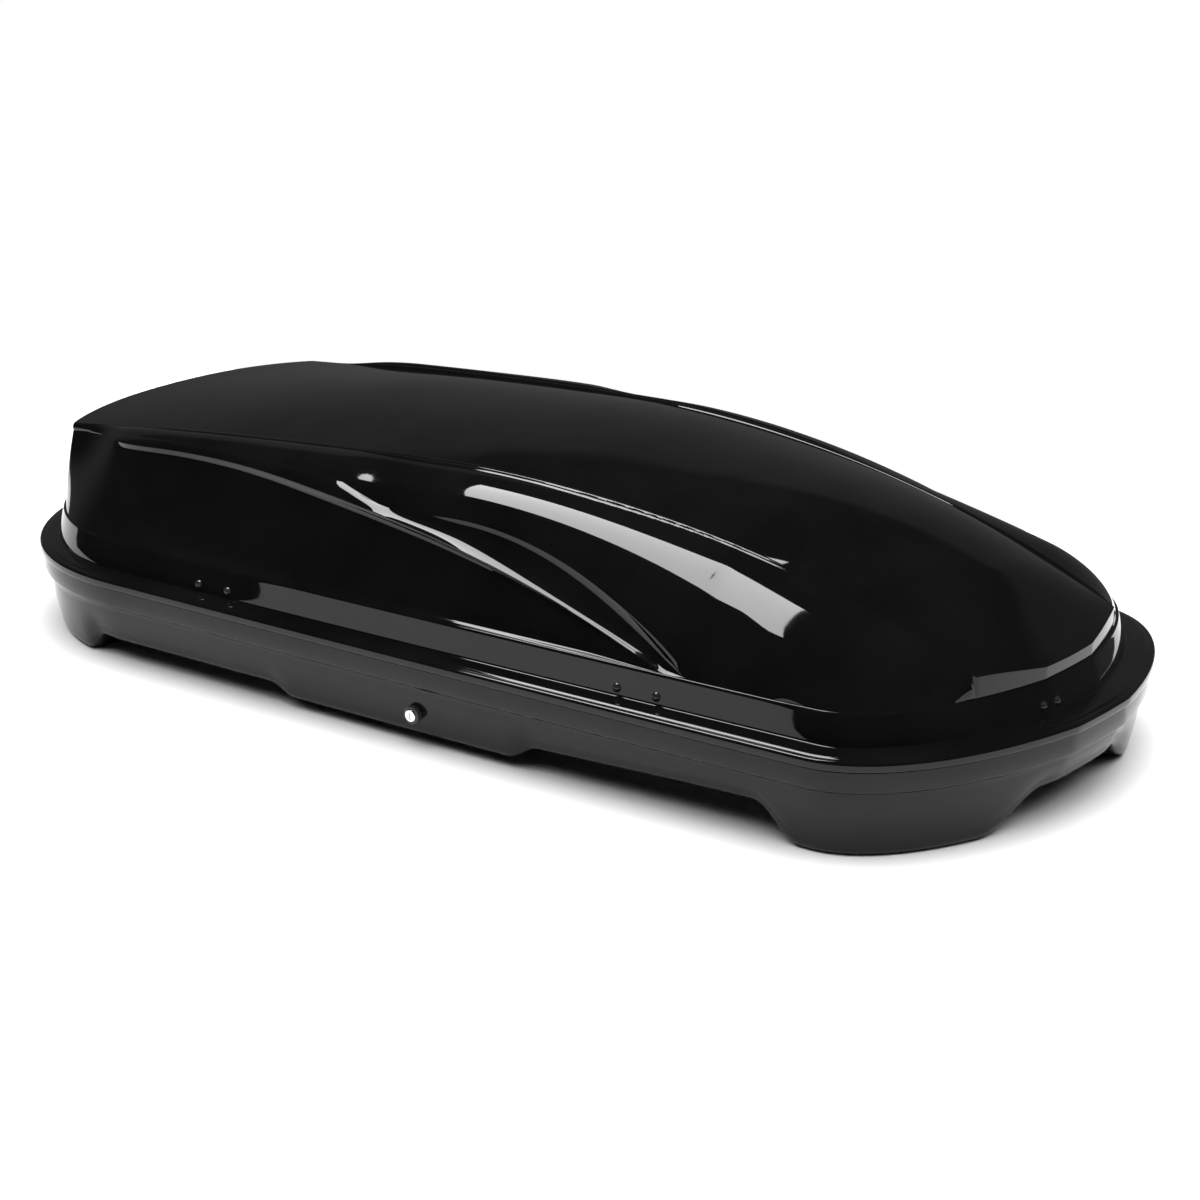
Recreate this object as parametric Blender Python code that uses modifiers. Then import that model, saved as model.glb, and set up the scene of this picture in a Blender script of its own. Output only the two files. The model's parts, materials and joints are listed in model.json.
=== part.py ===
"""Roof cargo box: a hinged clamshell of two moulded shells that clamps onto two crossbars.

Metres, +Z up. +X is the low nose, -Y the lock side and +Y the hinge side. The box stands on
its four feet at z = 0. Most shapes are drawn in the lip frame, whose z = 0 is the lid's lower
edge, and hang on the empty "lip_frame", which lifts them into place.
"""

import math

import bmesh
import bpy
import numpy as np
from mathutils import Matrix, Vector

# Plan of the lid's lower edge
HALF_LENGTH = 0.875
REAR_HALF_WIDTH = 0.419
FRONT_HALF_WIDTH = 0.363
REAR_BOW = 0.100
FRONT_BOW = 0.059
SIDE_BOW = 0.006
REAR_CORNER = (0.285, 0.274)
FRONT_CORNER = (0.298, 0.152)
CORNER_PULL = 0.62
TAPER = (REAR_HALF_WIDTH - FRONT_HALF_WIDTH) / (2 * HALF_LENGTH - REAR_BOW - FRONT_BOW)

# Heights in the lip frame
LIP_HEIGHT = 0.120
LIP_ROLL = 0.010
SKIRT_BASE = 0.016
SKIRT_TOP = 0.057
RIM_TOP = -0.002
BAND_BOTTOM = -0.028
FLOOR = -0.086
FOOT_BOTTOM = -LIP_HEIGHT

# Lid
WALL = 0.0032
FLANGE_MID = 0.034
FLANGE_SLOPE = 0.006
SKIRT_LEAN = 0.0045
NOSE_LEAN = 0.0060
LEDGE = 0.0035
PANEL_DEPTH = 0.007
FLUTE_DEPTH = 0.007
NOSE_HALF_WIDTH = 0.175
ROOF_PEAK = 0.230
ROOF_PEAK_X = 0.02
ROOF_CROWN = 0.028
NOSE_CROWN = 0.045
REAR_EDGE_X = (-0.772, -0.732)
SIDE_START_X = -0.55
SIDE_END_X = 0.45

# Stations and rings of the two shells
STATIONS = 37

# Hinge side
HINGE_OUT = 0.0078
HINGE_X = (-0.42, 0.34)
KNUCKLE = 0.0045
PIN = 0.0021
RUN = 0.0004
LEAF = 0.0018
GAP = 0.0004
STRUT_X = (-0.52, 0.28)
STRUT_FOOT = (-0.172, -0.052)
STRUT_HEAD = (-0.090, 0.088)

# Lock side
LOCK_X = 0.055
LOCK_Z = -0.072
CATCH_X = (-0.325, 0.400)
BAR_TRAVEL = 0.018
BAR_Z = -0.047
BAR_INSET = 0.0585
CAM = BAR_TRAVEL / math.sqrt(2)

# Crossbar clamps
CLAMP_X = (-0.40, 0.40)
CLAMP_Y = 0.22
JAW_HALF_GAP = 0.046
KNOB_RADIUS = 0.027

# Rivets on the lid's skirt
RIVET_X = (-0.352, -0.297, 0.370, 0.430)
NOSE_RIVET_Y = (-0.075, -0.048)

# The hinges stand out on +Y only, so the shells sit a little to -Y of the centre
CENTRE_SHIFT = -0.0060

PARTS = "roof_cargo_box"


# --- plan and height formulas ----------------------------------------------------------


def smooth(x, low, high):
    t = np.clip((x - low) / (high - low), 0, 1)
    return t * t * (3 - 2 * t)


def corner_curve(start, tip, end, count):
    """A cubic that leaves both edges along their tangents, without its two end points."""
    t = np.linspace(0, 1, count)[1:-1, None]
    a = start + (tip - start) * CORNER_PULL
    b = end + (tip - end) * CORNER_PULL
    return (1 - t) ** 3 * start + 3 * (1 - t) ** 2 * t * a + 3 * (1 - t) * t * t * b + t**3 * end


def half_outline():
    """The lid's lower edge from the rear centre round the +Y side to the front centre."""
    rear_tip = np.array([-HALF_LENGTH + REAR_BOW, REAR_HALF_WIDTH])
    front_tip = np.array([HALF_LENGTH - FRONT_BOW, FRONT_HALF_WIDTH])
    span = np.linalg.norm(front_tip - rear_tip)

    t = np.linspace(0, 1 - REAR_CORNER[0] / REAR_HALF_WIDTH, 40)
    rear = np.stack([-HALF_LENGTH + REAR_BOW * t * t, REAR_HALF_WIDTH * t], 1)
    t = np.linspace(REAR_CORNER[1] / span, 1 - FRONT_CORNER[1] / span, 120)[:, None]
    side = rear_tip + (front_tip - rear_tip) * t + np.array([0, 4 * SIDE_BOW]) * t * (1 - t)
    t = np.linspace(1 - FRONT_CORNER[0] / FRONT_HALF_WIDTH, 0, 40)
    front = np.stack([HALF_LENGTH - FRONT_BOW * t * t, FRONT_HALF_WIDTH * t], 1)

    rear_corner = corner_curve(rear[-1], rear_tip, side[0], 60)
    front_corner = corner_curve(side[-1], front_tip, front[0], 60)
    return np.vstack([rear, rear_corner, side, front_corner, front])


def lengths_along(points):
    return np.concatenate([[0], np.cumsum(np.linalg.norm(np.diff(points, axis=0), axis=1))])


def stations(count):
    """The half outline resampled at equal steps."""
    points = half_outline()
    along = lengths_along(points)
    steps = np.linspace(0, along[-1], count)
    return np.stack([np.interp(steps, along, points[:, k]) for k in (0, 1)], 1)


def inset(points, by):
    """The half outline moved in by a distance, or by one distance a point."""
    mirrored = [1, -1]
    padded = np.vstack([points[1] * mirrored, points, points[-2] * mirrored])
    tangent = padded[2:] - padded[:-2]
    tangent /= np.linalg.norm(tangent, axis=1)[:, None]
    outward = np.stack([-tangent[:, 1], tangent[:, 0]], 1)
    return points - outward * np.broadcast_to(by, len(points))[:, None]


def flange_width(points):
    return FLANGE_MID + FLANGE_SLOPE * points[:, 0] / HALF_LENGTH


def skirt_lean(x):
    """How far the skirt's top stands in from its base; the nose leans more than the sides."""
    return SKIRT_LEAN + NOSE_LEAN * smooth(x, 0.58, 0.74)


def crease_y(x):
    """Half width of the roof panel between its two creases."""
    return 0.216 - 0.055 * x


def crease_z(x):
    ahead = ROOF_PEAK - 0.20 * (x - ROOF_PEAK_X) ** 2 - 0.08 * (x - ROOF_PEAK_X) ** 4
    behind = ROOF_PEAK - 0.08 * np.abs(x - ROOF_PEAK_X) ** 1.4
    return np.where(x > ROOF_PEAK_X, ahead, behind)


def crown(x):
    """How far the roof's centre stands above its creases."""
    rise = ROOF_CROWN * (0.45 + 0.55 * smooth(x, -0.8, -0.3))
    rise = rise + (NOSE_CROWN - ROOF_CROWN) * smooth(x, 0.2, 0.62)
    return rise - NOSE_CROWN * smooth(x, 0.70, 0.845)


def roof_z(x, y):
    across = np.clip(np.abs(y) / crease_y(x), 0, 1)
    return crease_z(x) + crown(x) * (1 - across**2)


def ridge_z(x):
    """The arched ridge over each side panel."""
    return 0.191 - 0.205 * (x + 0.35) ** 2 - 0.021 * (x + 0.35) ** 4


def ridge_lean(x):
    """How far the side panel leans in for each metre of its height."""
    return 0.30 + 0.24 * smooth(-x, 0.0, 0.55)


def arch_z(x):
    """The upper edge of the flute that lies over the ridge."""
    return 0.1825 - 0.80 * (x - 0.076) ** 2


def panel_depth(x, z):
    """Depth of the side panel's recess, which starts at a slanted edge near the rear."""
    behind = x + 0.44 + (z - 0.05) * 1.38
    return PANEL_DEPTH * smooth(behind, 0, 0.016) * (1 - smooth(x, 0.30, 0.44))


def lid_guides(outline):
    """For each station: the body's foot, the ridge, the arch over the flute, the roof's edge."""
    foot = inset(outline, flange_width(outline) + skirt_lean(outline[:, 0]) + LEDGE)
    along = lengths_along(foot)
    sides = foot[:, 1] > 0.15
    start = np.interp(SIDE_START_X, foot[sides, 0], along[sides])
    end = np.interp(SIDE_END_X, foot[sides, 0], along[sides])
    nose = foot[:, 0] > 0.5
    meet = np.interp(-NOSE_HALF_WIDTH, -foot[nose, 1], along[nose])
    meet_x = np.interp(-NOSE_HALF_WIDTH, -foot[nose, 1], foot[nose, 0])

    foot = level(foot, SKIRT_TOP)
    edge = foot.copy()
    ridge = foot.copy()
    for i, (x, y, z) in enumerate(foot):
        if along[i] < start:
            edge[i] = rear_edge_point(along[i] / start)
            ridge[i] = rear_ridge_point(along[i] / start, edge[i], foot[i])
        elif along[i] < end:
            edge[i] = (x, crease_y(x), crease_z(x))
            top = max(float(ridge_z(x)), z + 0.002)
            ridge[i] = (x, y - ridge_lean(x) * (top - z), top)
        elif along[i] < meet:
            edge[i] = nose_edge_point((along[i] - end) / (meet - end), meet_x)

    spread = np.linalg.norm(edge - ridge, axis=1)
    free = bulge(ridge, edge, 0.2, 0.15 * spread)
    x = foot[:, 0]
    top = np.maximum(arch_z(x), SKIRT_TOP)
    cut = np.column_stack([x, foot[:, 1] - 0.40 * (top - SKIRT_TOP), top])
    ahead = smooth(x, -0.16, 0.04)[:, None] * (along > start)[:, None]
    arch = free * (1 - ahead) + cut * ahead
    gone = smooth(x, 0.44, 0.50)[:, None]
    return foot, ridge, arch * (1 - gone) + foot * gone, edge


def rear_edge_point(share):
    """A point of the roof's edge, from its rear centre to where the straight side starts."""
    turn = 0.58
    if share < turn:
        t = share / turn
        x = REAR_EDGE_X[0] + (REAR_EDGE_X[1] - REAR_EDGE_X[0]) * t**3
        y = crease_y(REAR_EDGE_X[1]) * t
    else:
        t = (share - turn) / (1 - turn)
        x = REAR_EDGE_X[1] + (SIDE_START_X - REAR_EDGE_X[1]) * t
        y = crease_y(x)
    return np.array([x, y, roof_z(x, y)])


def rear_ridge_point(share, edge, foot):
    """The rounded top of the rear wall, which turns into the side ridge at the corner."""
    back = edge * 0.82 + foot * 0.18
    back[2] = edge[2] - 0.012
    x = edge[0] + (foot[0] - edge[0]) * share**6
    z = float(ridge_z(x))
    side = np.array([x, foot[1] - ridge_lean(x) * (z - SKIRT_TOP), z])
    return back + (side - back) * smooth(share, 0.55, 0.95)


def nose_edge_point(share, meet_x):
    """A point of the crease that runs down over the shoulder to the nose's skirt."""
    x = SIDE_END_X + (meet_x - SIDE_END_X) * share
    y = crease_y(x) + (NOSE_HALF_WIDTH - crease_y(meet_x)) * share**2
    fade = smooth(share, 0.75, 1)
    z = crease_z(x) * (1 - fade) + max(SKIRT_TOP, crease_z(x)) * fade
    return np.array([x, y, z])


def bulge(low, high, share, swell):
    """A point between two guides, swollen square to the line between them."""
    chord = high - low
    flat = np.linalg.norm(chord[:, :2], axis=1)
    length = np.maximum(np.linalg.norm(chord, axis=1), 1e-6)
    out = np.column_stack([
        -chord[:, :2] * (chord[:, 2] / np.maximum(flat, 1e-6) / length)[:, None],
        flat / length,
    ])
    lift = swell * 4 * share * (1 - share)
    return low + chord * share + out * np.broadcast_to(lift, len(low))[:, None]


def lid_rings(outline):
    """The lid's outer surface, ring by ring from the lip to the roof's centre line."""
    foot, ridge, arch, edge = lid_guides(outline)
    flat = inset(outline, flange_width(outline))
    skirt = inset(outline, flange_width(outline) + skirt_lean(outline[:, 0]))
    rings = [
        level(outline, 0.0),
        level(outline, LIP_ROLL),
        level(inset(outline, 0.004), LIP_ROLL + 0.0035),
        level(flat, SKIRT_BASE),
        level(skirt, SKIRT_TOP),
        foot,
    ]
    side = smooth(foot[:, 1], 0.20, 0.26)
    height = ridge[:, 2] - foot[:, 2]
    for share in (0.12, 0.5, 0.88, 1.0):
        point = bulge(foot, ridge, share, 0.02 * height)
        sunk = panel_depth(point[:, 0], point[:, 2]) * side * (share < 1)
        rings.append(push(point, outline, -sunk))

    gap = np.linalg.norm(arch - ridge, axis=1)
    x = outline[:, 0]
    fluted = smooth(x, -0.10, 0.08) * (1 - smooth(x, 0.42, 0.49)) * side
    sag = -FLUTE_DEPTH * fluted + 0.10 * gap * (1 - fluted)
    for share in (0.5, 1.0):
        rings.append(bulge(ridge, arch, share, sag))

    spread = np.linalg.norm(edge - arch, axis=1)
    for share in (0.25, 0.5, 0.75, 1.0):
        rings.append(bulge(arch, edge, share, (0.13 + 0.03 * fluted) * spread))
    for share in (0.3, 0.6, 1.0):
        rings.append(roof_ring(edge, share))
    return rings


def push(points, outline, by):
    """Moves a ring's points outwards, square to the outline in plan."""
    inward = inset(outline, 1.0) - outline
    return points - np.column_stack([inward, np.zeros(len(inward))]) * by[:, None]


def roof_ring(edge, share):
    centre = edge * [0.92, 0, 1]
    points = edge + (centre - edge) * share
    nose = smooth(edge[:, 0], 0.80, 0.83)
    sunk = roof_z(points[:, 0], points[:, 1])
    points[:, 2] = sunk * (1 - nose) + np.maximum(sunk, SKIRT_TOP) * nose
    return points


def level(points, z):
    return np.column_stack([points, np.full(len(points), z)])


def tray_bottom(points):
    """Height of the tray's lower edge: it dips into the feet and into each lock bay."""
    x = points[:, 0]
    y = np.abs(points[:, 1])
    base = -0.090 + 0.016 * smooth(x, 0.0, 0.62)
    bay = smooth(x, -0.215, -0.175) * (1 - smooth(x, 0.20, 0.245)) * smooth(y, 0.2, 0.25)
    rear_foot = (1 - smooth(x, -0.60, -0.555)) * smooth(y, 0.16, 0.24)
    front_foot = smooth(x, 0.58, 0.65) * smooth(y, 0.09, 0.20)
    base = base + (-0.105 - base) * bay
    return base + (FOOT_BOTTOM - base) * np.maximum(rear_foot, front_foot)


def tray_rings(outline):
    """The tray's outer surface, from the rim's inner edge over the band to the floor."""
    low = tray_bottom(outline)
    wall = inset(outline, 0.018)
    foot_out = inset(outline, 0.038)
    foot_in = inset(outline, 0.086)
    floor = inset(outline, 0.110)
    rings = [
        level(inset(outline, 0.034), RIM_TOP),
        level(inset(outline, 0.006), RIM_TOP),
        level(inset(outline, 0.005), BAND_BOTTOM),
        level(inset(outline, 0.013), BAND_BOTTOM - 0.004),
        np.column_stack([wall, -0.034 + (low + 0.034) * 0.35]),
        np.column_stack([inset(outline, 0.030), low + 0.012]),
        np.column_stack([foot_out, low]),
        np.column_stack([foot_in, low]),
        level(floor, FLOOR),
    ]
    for share in (0.45, 1.0):
        rings.append(level(floor * [1 - 0.08 * share, 1 - share], FLOOR))
    return rings


# --- modelling helpers -----------------------------------------------------------------


def clear_scene():
    for obj in list(bpy.data.objects):
        bpy.data.objects.remove(obj, do_unlink=True)


def new_collection(name, hidden=False):
    collection = bpy.data.collections.new(name)
    bpy.context.scene.collection.children.link(collection)
    collection.hide_render = hidden
    return collection


def material(name, colour, roughness, metallic=0.0):
    made = bpy.data.materials.new(name)
    made.use_nodes = True
    shader = made.node_tree.nodes["Principled BSDF"]
    shader.inputs["Base Color"].default_value = (*colour, 1)
    shader.inputs["Roughness"].default_value = roughness
    shader.inputs["Metallic"].default_value = metallic
    return made


def add_object(name, mesh, collection, parent=None):
    obj = bpy.data.objects.new(name, mesh)
    collection.objects.link(obj)
    if parent is not None:
        hang(obj, parent)
    return obj


def hang(obj, parent):
    """Parents an object drawn in the lip frame, wherever the parent stands in that frame."""
    obj.parent = parent
    if parent.parent is not None:
        obj.matrix_parent_inverse = parent.matrix_basis.inverted()


def add_pivot(name, frame, parent):
    pivot = bpy.data.objects.new(name, None)
    bpy.data.collections[PARTS].objects.link(pivot)
    pivot.parent = parent
    pivot.matrix_local = frame
    pivot.empty_display_size = 0.03
    return pivot


def mesh_from(bm, name):
    bmesh.ops.recalc_face_normals(bm, faces=bm.faces)
    if bm.calc_volume(signed=True) < 0:
        bmesh.ops.reverse_faces(bm, faces=bm.faces)
    mesh = bpy.data.meshes.new(name)
    bm.to_mesh(mesh)
    bm.free()
    return mesh


def loft(name, rings):
    """An open skin through half rings, each mirrored to the -Y side and closed round."""
    bm = bmesh.new()
    rows = []
    for ring in rings:
        whole = np.vstack([ring, ring[-2:0:-1] * [1, -1, 1]])
        rows.append([bm.verts.new(point) for point in whole])
    for low, high in zip(rows, rows[1:]):
        for i, vert in enumerate(low):
            j = (i + 1) % len(low)
            bm.faces.new((vert, low[j], high[j], high[i]))
    bmesh.ops.remove_doubles(bm, verts=bm.verts, dist=1e-5)
    bmesh.ops.dissolve_degenerate(bm, edges=bm.edges, dist=1e-5)
    return mesh_from(bm, name)


def thicken(obj, thickness):
    solid = obj.modifiers.new("wall", "SOLIDIFY")
    solid.thickness = thickness
    solid.offset = -1
    solid.use_even_offset = True


def box_mesh(name, size, frame):
    bm = bmesh.new()
    bmesh.ops.create_cube(bm, size=1, matrix=frame @ Matrix.Diagonal((*size, 1)))
    return mesh_from(bm, name)


def round_mesh(name, radius, length, frame, sides=20):
    """A cylinder along the frame's Z."""
    bm = bmesh.new()
    bmesh.ops.create_cone(
        bm, cap_ends=True, segments=sides, radius1=radius, radius2=radius, depth=length, matrix=frame
    )
    return mesh_from(bm, name)


def dome_mesh(name, radius, height, stem, frame):
    """A domed rivet head above the frame's XY plane, with its stem below."""
    bm = bmesh.new()
    profile = [(0, -stem), (radius * 0.4, -stem), (radius * 0.4, 0), (radius, 0)]
    profile += [
        (radius * math.cos(a), height * math.sin(a)) for a in np.linspace(0.35, math.pi / 2, 4)
    ]
    verts = [bm.verts.new(frame @ Vector((r, 0, z))) for r, z in profile]
    edges = [bm.edges.new(pair) for pair in zip(verts, verts[1:])]
    bmesh.ops.spin(
        bm,
        geom=verts + edges,
        cent=frame.translation,
        axis=frame.to_3x3() @ Vector((0, 0, 1)),
        angle=math.tau,
        steps=10,
    )
    bmesh.ops.remove_doubles(bm, verts=bm.verts, dist=1e-5)
    return mesh_from(bm, name)


def plate_mesh(name, outline, thickness, frame):
    """A flat outline in the frame's XY plane, thickened both ways along its Z."""
    curve = bpy.data.curves.new(name, "CURVE")
    curve.dimensions = "2D"
    curve.fill_mode = "BOTH"
    curve.extrude = thickness / 2
    spline = curve.splines.new("POLY")
    spline.points.add(len(outline) - 1)
    for point, (x, y) in zip(spline.points, outline):
        point.co = (x, y, 0, 1)
    spline.use_cyclic_u = True
    guide = bpy.data.objects.new(name, curve)
    bpy.context.scene.collection.objects.link(guide)
    graph = bpy.context.evaluated_depsgraph_get()
    mesh = bpy.data.meshes.new_from_object(guide.evaluated_get(graph))
    bpy.data.objects.remove(guide)
    bm = bmesh.new()
    bm.from_mesh(mesh)
    bmesh.ops.remove_doubles(bm, verts=bm.verts, dist=1e-6)
    bm.transform(frame)
    return mesh_from(bm, name)


def combine(obj, mesh, operation):
    """Joins a mesh to an object, or cuts it out, with an exact Boolean."""
    tool = add_object(obj.name + "_tool", mesh, bpy.data.collections["cutters"])
    hang(tool, obj.parent)
    tool.hide_render = True
    tool.display_type = "WIRE"
    step = obj.modifiers.new(operation.lower(), "BOOLEAN")
    step.operation = operation
    step.object = tool


def finish(obj, look):
    obj.data.materials.append(look)
    obj.data.shade_smooth()
    obj.data.set_sharp_from_angle(angle=math.radians(35))
    return obj


def along_x(centre):
    """A frame whose Z lies along X."""
    return Matrix.Translation(centre) @ Matrix.Rotation(math.pi / 2, 4, "Y")


def facing(centre, normal):
    """A frame whose Z is a given direction."""
    return Matrix.Translation(centre) @ Vector(normal).to_track_quat("Z", "Y").to_matrix().to_4x4()


def section(x):
    """A frame across the box at x: its X runs along Y, its Y up and its Z along X."""
    return Matrix(((0, 0, 1, x), (1, 0, 0, 0), (0, 1, 0, 0), (0, 0, 0, 1)))


def far_frame():
    """Axes along the tapering hinge line: X forward, Y out of the box."""
    turn = Matrix.Rotation(-math.atan(TAPER), 4, "Z")
    return Matrix.Translation((0, side_line(0) + HINGE_OUT, 0)) @ turn


def near_frame():
    """Axes along the tapering lock side: X forward, Y into the box from the lip."""
    turn = Matrix.Rotation(math.atan(TAPER), 4, "Z")
    return Matrix.Translation((0, -side_line(0), 0)) @ turn


def side_line(x):
    """Half width of the straight line that touches the bowed side's middle."""
    rear_tip = -HALF_LENGTH + REAR_BOW
    return REAR_HALF_WIDTH - TAPER * (x - rear_tip) + SIDE_BOW


# --- sub-parts -------------------------------------------------------------------------


def make_lid(parts, pivot, looks):
    lid = add_object("lid_shell", loft("lid_shell", lid_rings(stations(STATIONS))), parts, pivot)
    thicken(lid, WALL)
    finish(lid, looks["gloss"])
    for name, x in (("lid_rib_rear", -0.30), ("lid_rib_front", 0.26)):
        make_lid_rib(name, x, parts, pivot, looks)


def make_lid_rib(name, x, parts, pivot, looks):
    """A bent strip that stiffens the roof from below."""
    width = 0.036
    depth = 0.010
    y = np.linspace(-1, 1, 13) * (crease_y(x) - 0.02)
    top = np.minimum(roof_z(x - width / 2, y), roof_z(x + width / 2, y)) - WALL - 0.0015
    outline = list(zip(y, top)) + list(zip(y[::-1], top[::-1] - depth))
    rib = add_object(name, plate_mesh(name, outline, width, section(x)), parts, pivot)
    finish(rib, looks["plastic"])


def make_tray(parts, root, looks):
    tray = add_object("tray_shell", loft("tray_shell", tray_rings(stations(STATIONS))), parts, root)
    thicken(tray, WALL)
    for x in CLAMP_X:
        for y in (-CLAMP_Y, CLAMP_Y):
            slot = Matrix.Translation((x, y, FLOOR))
            combine(tray, box_mesh("jaw_slot", (0.116, 0.024, 0.02), slot), "DIFFERENCE")
    wall = near_frame() @ Matrix.Translation((LOCK_X, 0.025, LOCK_Z))
    hole = wall @ Matrix.Rotation(math.pi / 2, 4, "X")
    combine(tray, round_mesh("lock_hole", 0.0113, 0.04, hole, 24), "DIFFERENCE")
    finish(tray, looks["tray"])


def make_seal(parts, root, looks):
    outline = stations(STATIONS)
    outer = inset(outline, 0.0165)
    inner = inset(outline, 0.0265)
    low = RIM_TOP + GAP
    high = SKIRT_BASE - WALL - 0.0035
    corners = [(outer, low), (outer, high), (inner, high), (inner, low), (outer, low)]
    rings = [level(ring, z) for ring, z in corners]
    seal = add_object("rim_seal", loft("rim_seal", rings), parts, root)
    finish(seal, looks["rubber"])


def make_rails(parts, root, looks):
    """Two steel hat rails that carry the load along the tray's floor."""
    base = FLOOR + WALL + GAP
    outline = [
        (-0.020, 0), (-0.0085, 0), (-0.0085, 0.007), (0.0085, 0.007), (0.0085, 0), (0.020, 0),
        (0.020, 0.002), (0.0105, 0.002), (0.0105, 0.009), (-0.0105, 0.009), (-0.0105, 0.002),
        (-0.020, 0.002),
    ]
    for name, y in (("rail_near", -0.16), ("rail_far", 0.16)):
        frame = section(-0.02) @ Matrix.Translation((y, base, 0))
        rail = add_object(name, plate_mesh(name, outline, 1.02, frame), parts, root)
        finish(rail, looks["steel"])


def make_hinge(tag, x, parts, root, pivot, looks):
    frame = far_frame() @ Matrix.Translation((x, 0, 0))
    lip = side_line(x) - half_width_at(x)
    wide = 0.044
    third = wide / 3

    def across(shift):
        return frame @ section(shift)

    # Lid leaf: middle knuckle, a web over the rolled lip, and a strap up the skirt
    reach = -(HINGE_OUT + lip)
    skirt = reach - FLANGE_MID - FLANGE_SLOPE * x / HALF_LENGTH
    over = SKIRT_BASE + GAP
    back = skirt - 0.85 * SKIRT_LEAN + 2 * GAP
    leaf = [
        (-LEAF / 2, 0.0030), (LEAF / 2, 0.0030), (LEAF / 2, over + LEAF),
        (skirt + LEAF + 0.001, over + LEAF), (back + LEAF, SKIRT_TOP - 0.006),
        (back, SKIRT_TOP - 0.006), (skirt + 0.001, over), (-LEAF / 2, over),
    ]
    lid_leaf = add_object(
        f"hinge_{tag}_lid_leaf", plate_mesh("leaf", leaf, third - 4 * GAP, across(0)), parts, pivot
    )
    knuckle = frame @ along_x((0, 0, 0))
    combine(lid_leaf, round_mesh("knuckle", KNUCKLE, third - 2 * GAP, knuckle), "UNION")
    combine(lid_leaf, round_mesh("bore", PIN + RUN, wide, knuckle), "DIFFERENCE")
    finish(lid_leaf, looks["black_steel"])

    # Tray leaf: two outer knuckles on a web under the lip, and a plate on the rim's band
    band = reach - 0.005 + GAP
    web = [
        (band, -0.0073), (0.0012, -0.0073), (0.0012, -0.0022), (-0.0008, -0.0022),
        (-0.0008, -0.0053), (band, -0.0053),
    ]
    inner = band - 0.0001
    outer = band + LEAF
    drop = [(inner, -0.0262), (outer, -0.0262), (outer, -0.0060), (inner, -0.0060)]
    tray_leaf = add_object(
        f"hinge_{tag}_tray_leaf", plate_mesh("drop", drop, wide, across(0)), parts, root
    )
    for side in (-1, 1):
        shift = side * third
        combine(tray_leaf, plate_mesh("web", web, third - 4 * GAP, across(shift)), "UNION")
        side_knuckle = frame @ along_x((shift, 0, 0))
        combine(tray_leaf, round_mesh("knuckle", KNUCKLE, third - 2 * GAP, side_knuckle), "UNION")
    combine(tray_leaf, round_mesh("bore", PIN + RUN, wide * 1.2, knuckle), "DIFFERENCE")
    finish(tray_leaf, looks["black_steel"])

    pin = add_object(f"hinge_{tag}_pin", round_mesh("pin", PIN, wide + 0.004, knuckle), parts, root)
    head = frame @ along_x((wide / 2 + 0.0016, 0, 0))
    combine(pin, round_mesh("head", 0.0036, 0.0016, head), "UNION")
    finish(pin, looks["steel"])


def half_width_at(x):
    outline = half_outline()
    sides = outline[:, 1] > 0.2
    return float(np.interp(x, outline[sides, 0], outline[sides, 1]))


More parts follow.
